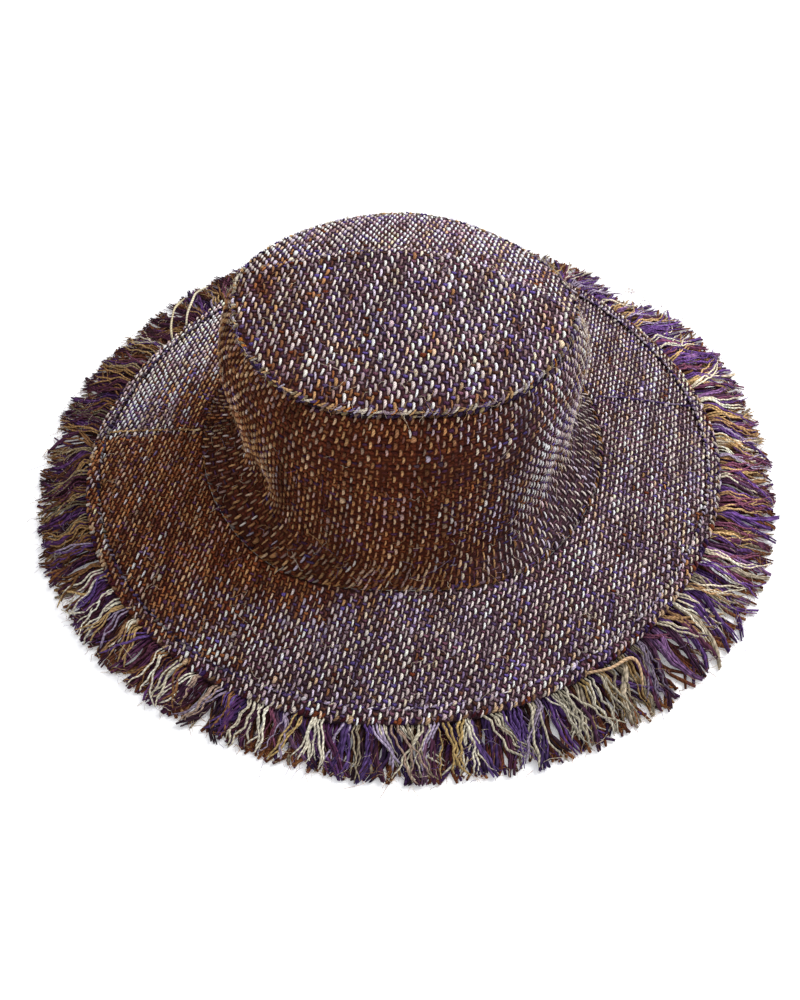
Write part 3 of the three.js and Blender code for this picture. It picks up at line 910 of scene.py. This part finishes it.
def lay_yarns(name, shape, paths, radii, tints, material):
    """Yarns along these paths. paths and tints are (yarns, stations, 3), and radii (yarns, stations)."""
    stations = paths.shape[1]
    at = np.rint((shape[0][:, 2] + 0.5) * (stations - 1)).astype(int)
    round_it = np.arctan2(shape[0][:, 1], shape[0][:, 0])
    tangents = unit(np.gradient(paths, axis=1))
    sides = unit(np.cross(np.array([0.02, 0.03, 1.0]), tangents))
    ups = np.cross(tangents, sides)
    radius = radii[:, at, None]
    corners = (
        paths[:, at]
        + sides[:, at] * radius * np.sin(round_it)[:, None]
        + ups[:, at] * radius * np.cos(round_it)[:, None]
    )
    run = np.cumsum(np.linalg.norm(np.diff(paths, axis=1, prepend=paths[:, :1]), axis=2), axis=1)
    lot = np.repeat(rng.random((len(paths), 1)) * 9, len(at), 1)
    lays = np.stack([run[:, at], radius[..., 0] * round_it, lot], -1)
    unwrapped = np.stack([at / (stations - 1), round_it / (2 * math.pi) + 0.5], 1)
    return joined(name, shape, corners, np.clip(tints, 0.002, 0.95)[:, at], lays, unwrapped, material)


def fringe_paths(angle, stations, lean, reach, stack, crimp, wave, start_height, phase=None):
    """Paths out of the raw edge and down to the floor. lean is how far they go sideways for each millimetre
    outwards, reach their length as a share, stack their height, and crimp and wave their waves' size."""
    count = len(angle)
    s = np.linspace(0, 1, stations)[None]
    edge, lift = around(EDGE_RADII, angle), around(EDGE_LIFTS, angle)
    start = edge - 2.5
    sparse = 1 - 0.42 * np.exp(-(((np.degrees(angle) % 360 - SPARSE_AT) / SPARSE_WIDTH) ** 2))
    length = (around(FRINGE_RADII, angle) - start) * reach * sparse
    phase = rng.uniform(0, 2 * math.pi, count) if phase is None else phase
    run = length[:, None] * s
    swing = run * 2 * math.pi / wave[:, None] + phase[:, None]
    sway = run * 2 * math.pi / (2.6 * wave[:, None]) + 1.7 * phase[:, None]
    grown = smooth(0.0, 0.3, s)
    curl = rng.normal(0, 0.2, count)[:, None] * s**2
    waved = crimp[:, None] * grown * (np.sin(swing) + 1.3 * np.sin(sway))
    sideways = run * (lean[:, None] * smooth(0, 0.6, s) + curl) + waved
    outwards = run * np.sqrt(np.maximum(0.4, 1 - 0.5 * lean[:, None] ** 2))
    fall = (1 - smooth(0.0, 0.75, s)) * (lift - 0.8 + start_height)[:, None]
    resting = stack[:, None] * (1 - 0.35 * s) + 0.35 * crimp[:, None] * grown * np.cos(swing)
    height = np.maximum(fall, 0) + np.maximum(resting, 0.3) * smooth(0, 0.35, s)
    radius = start[:, None] + outwards
    turned = angle[:, None] + sideways / np.maximum(radius, 1)
    return polar(turned, radius, height)


def kept_off_floor(paths, radii):
    """Lifts each path so that its yarn rests on the floor and doesn't sink into it."""
    paths[..., 2] = np.maximum(paths[..., 2], radii + 0.05)
    return paths


def clumped(count, clumps, pull):
    """Angles round the fringe, and a lean for each, by which the yarns draw together in clumps."""
    angle = (np.arange(count) + rng.uniform(-0.9, 0.9, count)) * 2 * math.pi / count
    centres = np.sort(rng.uniform(0, 2 * math.pi, clumps))
    leans = rng.normal(0.02, 0.26, clumps)
    gap = (centres[None] - angle[:, None] + math.pi) % (2 * math.pi) - math.pi
    nearest = np.argmin(np.abs(gap), axis=1)
    towards = gap[np.arange(count), nearest] * FRINGE_MIDDLE / FRINGE_LENGTH
    lean = leans[nearest] + pull * towards + rng.normal(0, 0.12, count)
    return angle, np.clip(lean, -0.75, 0.75)


def painted_light_and_tone(angle):
    """Paler on the right, as painted light on the lamp's side; paler yarn at the front left, and darker at
    the front right.
    """
    turn = np.degrees(angle) % 360
    pale, dark = np.exp(-(((turn - 233) / 22) ** 2)), np.exp(-(((turn - 306) / 17) ** 2))
    return (1 + 0.6 * smooth(0.6, 0.95, np.cos(angle)) + 0.42 * pale - 0.25 * dark)[:, None]


def fringe_colours(angle):
    """Thin yarns: cream and gold in front, gold, maroon and violet on the right, browner on the left."""
    count = len(angle)
    front = np.clip(-np.sin(angle), 0, 1) ** 1.2
    left = np.clip(-np.cos(angle), 0, 1) ** 2.4
    front = front * (1 - 0.45 * smooth(0.25, 0.7, np.cos(angle)))
    draw = rng.random(count)
    colours = np.where((draw < front)[:, None], picked(FRONT_THIN, count), picked(SIDE_THIN, count))
    on_left = (rng.random(count) < left * (1 - 0.5 * front))[:, None]
    return np.where(on_left, picked(LEFT_THIN, count), colours) * painted_light_and_tone(angle)


def along_yarn(colours, stations, root, tip, tips=None):
    """Colours along each yarn: painted shade at its root, darker at its tip, and passing there into its tips'
    colour when these are given.
    """
    s = np.linspace(0, 1, stations)[None, :, None]
    shade = (root + (1 - root) * smooth(0, 0.25, s)) * (1 + (tip - 1) * smooth(0.6, 1, s))
    mottle = rng.normal(1, 0.1, (len(colours), stations, 1))
    passing = smooth(0.45, 0.85, s) if tips is not None else 0
    blend = colours[:, None] if tips is None else colours[:, None] * (1 - passing) + tips[:, None] * passing
    return blend * shade * mottle


def thinned(radius, stations, tip):
    """Radii along each yarn, a little uneven and thinner at the tip."""
    s = np.linspace(0, 1, stations)[None]
    uneven = 1 + 0.14 * np.sin(s * 9 + rng.uniform(0, 6, (len(radius), 1)))
    return radius[:, None] * uneven * (1 - (1 - tip) * smooth(0.85, 1, s))


def each_of(values, strands):
    return np.repeat(values, strands, axis=0)


THIN_GROUPS, THIN_STRANDS, THIN_STATIONS = 240, 3, 13
# Where the strands of a group start, sideways of its middle and at about this radius.
STRAND_PLACES, STRAND_WANDER, ROOT_RADIUS = (-1.3, 0.0, 1.2), 0.6, 180
angle, lean = clumped(THIN_GROUPS, 90, 0.3)
count = THIN_GROUPS * THIN_STRANDS
strand_angle = each_of(angle, THIN_STRANDS) + np.tile(STRAND_PLACES, THIN_GROUPS) / ROOT_RADIUS
strand_angle = strand_angle + rng.normal(0, STRAND_WANDER, count) / ROOT_RADIUS
thin_paths = fringe_paths(
    strand_angle, THIN_STATIONS,
    each_of(lean + rng.normal(0, 0.1, THIN_GROUPS), THIN_STRANDS) + rng.normal(0, 0.1, count),
    each_of(rng.uniform(0.7, 0.99, THIN_GROUPS), THIN_STRANDS) * rng.uniform(0.88, 1.05, count),
    each_of(rng.uniform(3.6, 5.2, THIN_GROUPS), THIN_STRANDS) + rng.uniform(-0.5, 0.8, count),
    each_of(rng.uniform(0.3, 0.85, THIN_GROUPS), THIN_STRANDS),
    each_of(rng.uniform(6.0, 11.0, THIN_GROUPS), THIN_STRANDS), rng.uniform(0.2, 1.8, count),
    each_of(rng.uniform(0, 2 * math.pi, THIN_GROUPS), THIN_STRANDS) + rng.normal(0, 0.5, count),
)
thin_radii = thinned(rng.uniform(0.36, 0.64, count), THIN_STATIONS, 0.5)
thin_colours = each_of(fringe_colours(angle), THIN_STRANDS) * rng.normal(1, 0.12, (count, 1))
thin_yarns = lay_yarns(
    "fringe_fine_yarns", tube_shape(4, THIN_STATIONS), kept_off_floor(thin_paths, thin_radii),
    thin_radii, along_yarn(thin_colours, THIN_STATIONS, 0.55, 0.72), fringe_yarn,
)
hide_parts("fringe")

ROPES, STRANDS, ROPE_STATIONS = 270, 5, 8
angle, lean = clumped(ROPES, 90, 0.3)
rope_paths = fringe_paths(
    angle, ROPE_STATIONS, lean, rng.uniform(0.86, 1.03, ROPES), rng.uniform(1.6, 3.2, ROPES),
    rng.uniform(0.2, 0.55, ROPES), rng.uniform(9, 15, ROPES), rng.uniform(-0.8, 0.8, ROPES),
)
count = ROPES * STRANDS
run = np.linspace(0, 1, ROPE_STATIONS)[None]
on_right = np.clip(np.cos(angle) * 1.4, 0, 1)
loose = (1.9 - 0.7 * on_right) * rng.uniform(0.8, 1.2, ROPES)
twist = each_of(rng.uniform(0, 6.3, ROPES), STRANDS)
twist = twist + np.tile(np.arange(STRANDS) * 2 * math.pi / STRANDS, ROPES)
tightness = each_of(rng.uniform(2.0, 5.0, ROPES), STRANDS) + rng.normal(0, 0.5, count)
turned = twist[:, None] + run * tightness[:, None]
wide = each_of(loose, STRANDS)[:, None] * (1 - each_of(rng.uniform(-0.2, 0.6, ROPES), STRANDS)[:, None] * run)
sideways = np.stack([-np.sin(angle), np.cos(angle), 0 * angle], 1)
strand_paths = each_of(rope_paths, STRANDS)
strand_paths = strand_paths + each_of(sideways, STRANDS)[:, None] * (wide * np.cos(turned))[..., None]
strand_paths[..., 2] += 0.8 * np.sin(turned) * np.minimum(1, 4 * run)
rope_radii = thinned(rng.uniform(0.45, 0.78, count), ROPE_STATIONS, 0.55)
rope_is_right = (rng.random(ROPES) < on_right)[:, None]
rope_colours = np.where(rope_is_right, picked(RIGHT_ROVING, ROPES), picked(ROVING, ROPES))
rope_is_left = (rng.random(ROPES) < np.clip(-np.cos(angle) * 1.3, 0, 1))[:, None]
rope_colours = np.where(rope_is_left, picked(LEFT_ROVING, ROPES), rope_colours) * painted_light_and_tone(angle)
rope_colours = each_of(rope_colours, STRANDS) * np.clip(rng.normal(1, 0.3, (count, 1)), 0.45, 1.9)
roving_yarns = lay_yarns(
    "fringe_violet_roving", tube_shape(4, ROPE_STATIONS),
    kept_off_floor(strand_paths, rope_radii), rope_radii,
    along_yarn(rope_colours, ROPE_STATIONS, 0.6, 0.75), roving,
)

UNDER_COUNT, UNDER_STATIONS = 900, 7
angle, lean = clumped(UNDER_COUNT, 110, 0.1)
under_paths = fringe_paths(
    angle, UNDER_STATIONS, 0.55 * lean, rng.uniform(0.8, 0.97, UNDER_COUNT),
    rng.uniform(0.8, 1.8, UNDER_COUNT), rng.uniform(0.1, 0.45, UNDER_COUNT),
    rng.uniform(9, 14, UNDER_COUNT), rng.uniform(-1.5, 0, UNDER_COUNT),
)
under_radii = thinned(rng.uniform(0.65, 1.2, UNDER_COUNT), UNDER_STATIONS, 0.7)
under_roots, under_tips = picked(UNDER, UNDER_COUNT), picked(UNDER_TIPS, UNDER_COUNT)
under_yarns = lay_yarns(
    "fringe_under_yarns", tube_shape(4, UNDER_STATIONS),
    kept_off_floor(under_paths, under_radii), under_radii,
    along_yarn(under_roots, UNDER_STATIONS, 0.5, 0.95, under_tips), fringe_yarn,
)

# Each loose yarn's colour, radius and route over the edge, as a radius, an angle in degrees and a height.
LOOSE_YARNS = (
    ("#c9a884", 0.75, ((176, 299, 8), (180, 302.5, 9), (181, 306, 9), (186, 306.5, 7.5), (194, 305, 5))),
    ("#d6ccb0", 0.7, ((167, 145, 9), (173, 142.5, 10.5), (180, 139, 11), (186, 136.5, 9.5), (189, 133, 7))),
    ("#cfc2a0", 0.65, ((166, 150, 8), (173, 147.5, 9.5), (180, 144.5, 10), (186, 142, 8.5), (191, 138.5, 6))),
    ("#cbb894", 0.6, ((172, 127, 8), (178, 124, 9), (184, 121.5, 9), (190, 122, 6.5), (196, 124, 4))),
    ("#b99a68", 0.6, ((174, 215, 8), (182, 213, 7.5), (190, 214.5, 5), (198, 212, 3), (205, 213.5, 1.5))),
)
LOOSE_STATIONS = 17


def through(points):
    """A smooth path through a few points."""
    at = np.linspace(0, len(points) - 1, LOOSE_STATIONS)
    row = np.clip(np.floor(at).astype(int), 0, len(points) - 2)
    near = (points[np.clip(row + k, 0, len(points) - 1)] for k in (-1, 0, 1, 2))
    return curve(*near, (at - row)[:, None])


routes = [np.array(route, float) for _, _, route in LOOSE_YARNS]
loose_paths = np.stack([through(polar(np.radians(r[:, 1]), r[:, 0], r[:, 2])) for r in routes])
loose_radii = thinned(np.array([radius for _, radius, _ in LOOSE_YARNS]), LOOSE_STATIONS, 0.5)
loose_tints = np.stack([to_linear(colour) for colour, _, _ in LOOSE_YARNS])
loose_tints = along_yarn(loose_tints, LOOSE_STATIONS, 0.7, 0.85)
loose_yarns = lay_yarns(
    "fringe_loose_yarns", tube_shape(7, LOOSE_STATIONS), loose_paths, loose_radii, loose_tints,
    fringe_yarn,
)
fringe_pieces = [thin_yarns, roving_yarns, under_yarns, loose_yarns]
for half, yarns, more in zip(brim_cloths, brim_yarns, (fringe_pieces, side_seams)):
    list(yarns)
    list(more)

# Lint: fine curly fibres that stand out of hand-spun hemp all over, and more of them at the fringe's tips.
HAIR_STATIONS = 5
HAIRS_ON_CLOTH = (
    ("crown_tip_lint", tip_face, 320, "crown_cloth"),
    ("crown_band_lint", wall_face, 460, "band_cloth"),
    ("brim_lint", brim_face, 480, "brim_cloth"),
)
TIP_SEAM_HAIRS, SIDE_HAIRS, FRINGE_HAIRS, HEM_HAIRS = 260, 330, 1100, 1700
HAIR_COLOURS = palette(("#cfc0a8", 38), ("#b08e64", 27), ("#8f8098", 20), ("#5c4478", 15))
HEM_COLOURS = palette(("#8c5a34", 34), ("#a87c50", 22), ("#6b3a24", 18), ("#c4b090", 12), ("#5a3c70", 14))
hair_shape = tube_shape(3, HAIR_STATIONS)


def stray_hairs(name, slot, roots, normals, length, colours=HAIR_COLOURS):
    """Curly fibres from these roots, each in its own direction, mostly lying along the cloth."""
    count = len(roots)
    s = np.linspace(0, 1, HAIR_STATIONS)[None, :, None]
    flat = unit(np.cross(normals, rng.normal(size=(count, 3))))
    side = np.cross(normals, flat)
    long = rng.uniform(0.4, 1.0, (count, 1, 1)) * length
    bend = rng.normal(0, 0.8, (count, 1, 1))
    rise = rng.uniform(0.1, 0.32, (count, 1, 1))
    paths = (
        roots[:, None]
        + flat[:, None] * long * s
        + side[:, None] * long * (bend * s**2 + 0.12 * np.sin(s * rng.uniform(4, 9, (count, 1, 1))))
        + normals[:, None] * (0.6 + long * rise * np.sin(s * 2.6))
    )
    paths[..., 2] = np.maximum(paths[..., 2], 0.2)
    radii = np.repeat(rng.uniform(0.05, 0.11, (count, 1)), HAIR_STATIONS, 1)
    tints = np.repeat(picked(colours, count)[:, None], HAIR_STATIONS, 1)
    lay_yarns(name, hair_shape, paths, radii, tints, fringe_yarn)


def cloth_roots(face, count):
    """Roots all over a panel, and the way out of its face at each."""
    angle, s = rng.uniform(0, 2 * math.pi, count), np.sqrt(rng.uniform(0.05, 0.97, count))
    step = 0.01
    outward = face(angle, s + step) - face(angle, s - step)
    ring = face(angle + step, s) - face(angle - step, s)
    return face(angle, s), unit(np.cross(outward, ring))


for name, face, count, slot in HAIRS_ON_CLOTH:
    stray_hairs(name, slot, *cloth_roots(face, count), 6.5)
angle = rng.uniform(0, 2 * math.pi, TIP_SEAM_HAIRS)
rim = tip_face(angle, np.ones(TIP_SEAM_HAIRS)) + (0, 0, 0.6)
stray_hairs("tip_seam_lint", "crown_cloth", rim, unit(polar(angle, 1.0, 0.8)), 5)
angle, s = rng.uniform(-0.5, 0.9, SIDE_HAIRS), rng.uniform(0.04, 0.7, SIDE_HAIRS)
stray_hairs("crown_side_lint", "band_cloth", wall_face(angle, s), unit(polar(angle, 1.0, 0.2)), 8)
angle = rng.uniform(0, 2 * math.pi, FRINGE_HAIRS)
out = rng.uniform(2, 26, FRINGE_HAIRS)
tips = polar(angle, around(FRINGE_RADII, angle) - out, rng.uniform(0.5, 3, FRINGE_HAIRS) + 0.1 * out)
upwards = unit(polar(angle, rng.uniform(0.1, 1.2, FRINGE_HAIRS), 1.0))
stray_hairs("fringe_lint", "fringe_yarn", tips, upwards, 7)
angle = rng.uniform(0, 2 * math.pi, HEM_HAIRS)
hem = around(FRINGE_RADII, angle) - rng.uniform(1.5, 8, HEM_HAIRS)
hem = polar(angle, hem, rng.uniform(0.3, 1.5, HEM_HAIRS))
upwards = np.tile((0.0, 0.0, 1.0), (HEM_HAIRS, 1))
stray_hairs("fringe_hem_lint", "fringe_yarn", hem, upwards, 5, HEM_COLOURS)

# Studio: a pale floor, one broad soft lamp from behind on the right, and weaker light all round.
floor_shape = bmesh.new()
bmesh.ops.create_grid(floor_shape, x_segments=1, y_segments=1, size=6)
floor_mesh = bpy.data.meshes.new("floor")
floor_shape.to_mesh(floor_mesh)
floor_shape.free()
# White paper, matt all over. It is lit a little from within, so the hat's shadow on it stays faint.
paper, _, paper_shader = shader_of("matt_white_paper", 0.95, 0.2)
paper_shader.inputs["Base Color"].default_value = (*to_linear("#fafafa"), 1)
paper_shader.inputs["Emission Color"].default_value = (1, 1, 1, 1)
paper_shader.inputs["Emission Strength"].default_value = 0.16
floor_mesh.materials.append(paper)
placed("floor", floor_mesh)
for name, spot, size, power in (("window", (1.25, 0.8, 1.2), 1.4, 46), ("room", (-1.0, -1.6, 1.6), 1.8, 7)):
    lamp = bpy.data.lights.new(name, "AREA")
    lamp.shape = "DISK"
    lamp.size = size
    lamp.energy = power
    stand = placed(name, lamp)
    stand.location = spot
    stand.rotation_euler = Vector(spot).to_track_quat("Z", "Y").to_euler()
world = bpy.data.worlds.new("studio")
bpy.context.scene.world = world
world.use_nodes = True
sky = world.node_tree.nodes["Background"]
sky.inputs["Color"].default_value = (*to_linear("#f4f5fa"), 1)
sky.inputs["Strength"].default_value = 0.72
bpy.context.scene.view_settings.view_transform = "Standard"
